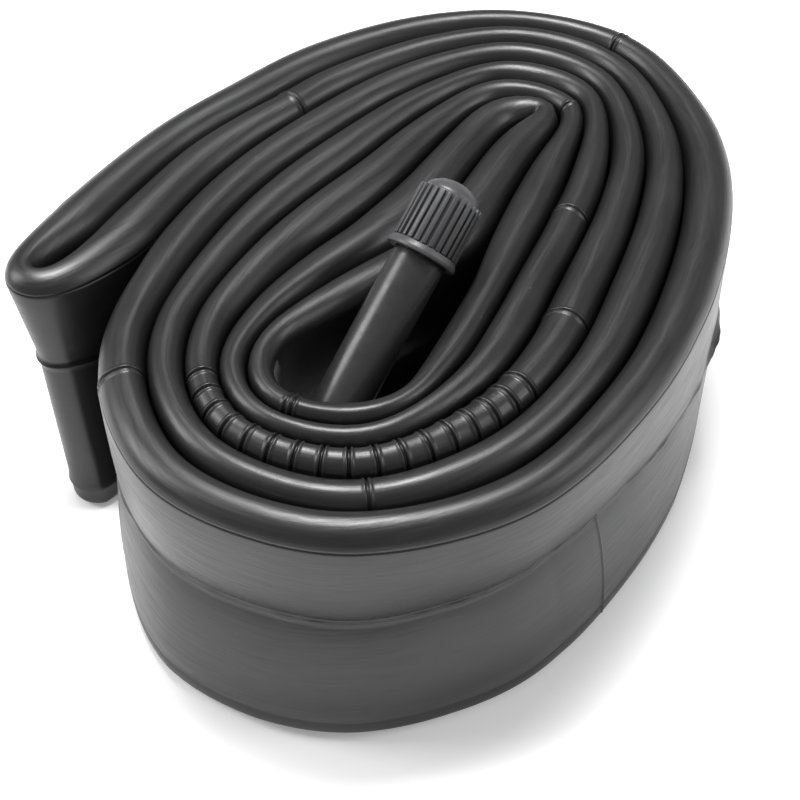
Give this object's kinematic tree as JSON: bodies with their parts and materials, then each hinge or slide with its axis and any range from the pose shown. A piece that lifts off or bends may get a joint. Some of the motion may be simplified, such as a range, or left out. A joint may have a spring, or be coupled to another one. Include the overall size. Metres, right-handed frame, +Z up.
{
  "type": "bicycle inner tube",
  "caption": "Rubber inner tube pressed flat, doubled and rolled up on edge, with a rubber-covered valve and ribbed cap leaning out of the roll.",
  "frame": {"origin": "on the surface that the roll stands on, under the middle of the whole object's box", "axes": "+Z up across the flat width of the rolled band, +Y along the roll's longer side, +X to the right as the loose end of the roll lies on the left"},
  "size_m": [0.1106, 0.1214, 0.0576],
  "materials": {
    "butyl_rubber": "satin",
    "valve_rubber": "satin, smoother than the tube",
    "seal_rubber": "matt",
    "cap_plastic": "moulded, semi-matt",
    "brass": "turned",
    "spring_steel": "drawn wire"
  },
  "bodies": {
    "tube_and_stem": {"tube_body": "butyl_rubber", "valve_patch": "butyl_rubber", "stem_rubber": "valve_rubber", "stem_insert": "brass"},
    "cap_seat": {"cap_gasket": "seal_rubber"},
    "valve_cap": {"cap_shell": "cap_plastic"},
    "core_body": {"core_barrel": "brass", "core_seal_ring": "seal_rubber", "core_spring": "spring_steel"},
    "core_head": {"core_plug": "brass"},
    "core_needle": {"core_pin": "brass", "pin_seat_cup": "brass", "pin_seat_washer": "seal_rubber"}
  },
  "joints": [
    {"name": "cap_lift", "type": "slide", "parent": "tube_and_stem", "child": "cap_seat", "axis": [0.4755, 0.6545, 0.5878], "range_m": [0, 0.00476]},
    {"name": "cap_turn", "type": "hinge", "parent": "cap_seat", "child": "valve_cap", "pos_m": [-0.01239, -0.03648, 0.0253], "axis": [0.4755, 0.6545, 0.5878], "range_deg": [0, 2160]},
    {"name": "core_back_off", "type": "slide", "parent": "tube_and_stem", "child": "core_body", "axis": [0.4755, 0.6545, 0.5878], "range_m": [0, 0.00141]},
    {"name": "core_turn", "type": "hinge", "parent": "core_body", "child": "core_head", "pos_m": [-0.01239, -0.03648, 0.0253], "axis": [0.4755, 0.6545, 0.5878], "range_deg": [0, 720]},
    {"name": "pin_press", "type": "slide", "parent": "core_body", "child": "core_needle", "axis": [-0.4755, -0.6545, -0.5878], "range_m": [0, 0.0012], "stiffness_N_per_m": 800, "springref_m": -0.002, "deforming": ["core_spring"]}
  ],
  "couplings": [
    {"joint": "cap_turn", "follows": "cap_lift", "rad_per_m": 7915.8},
    {"joint": "core_turn", "follows": "core_back_off", "rad_per_m": 8905.3}
  ]
}
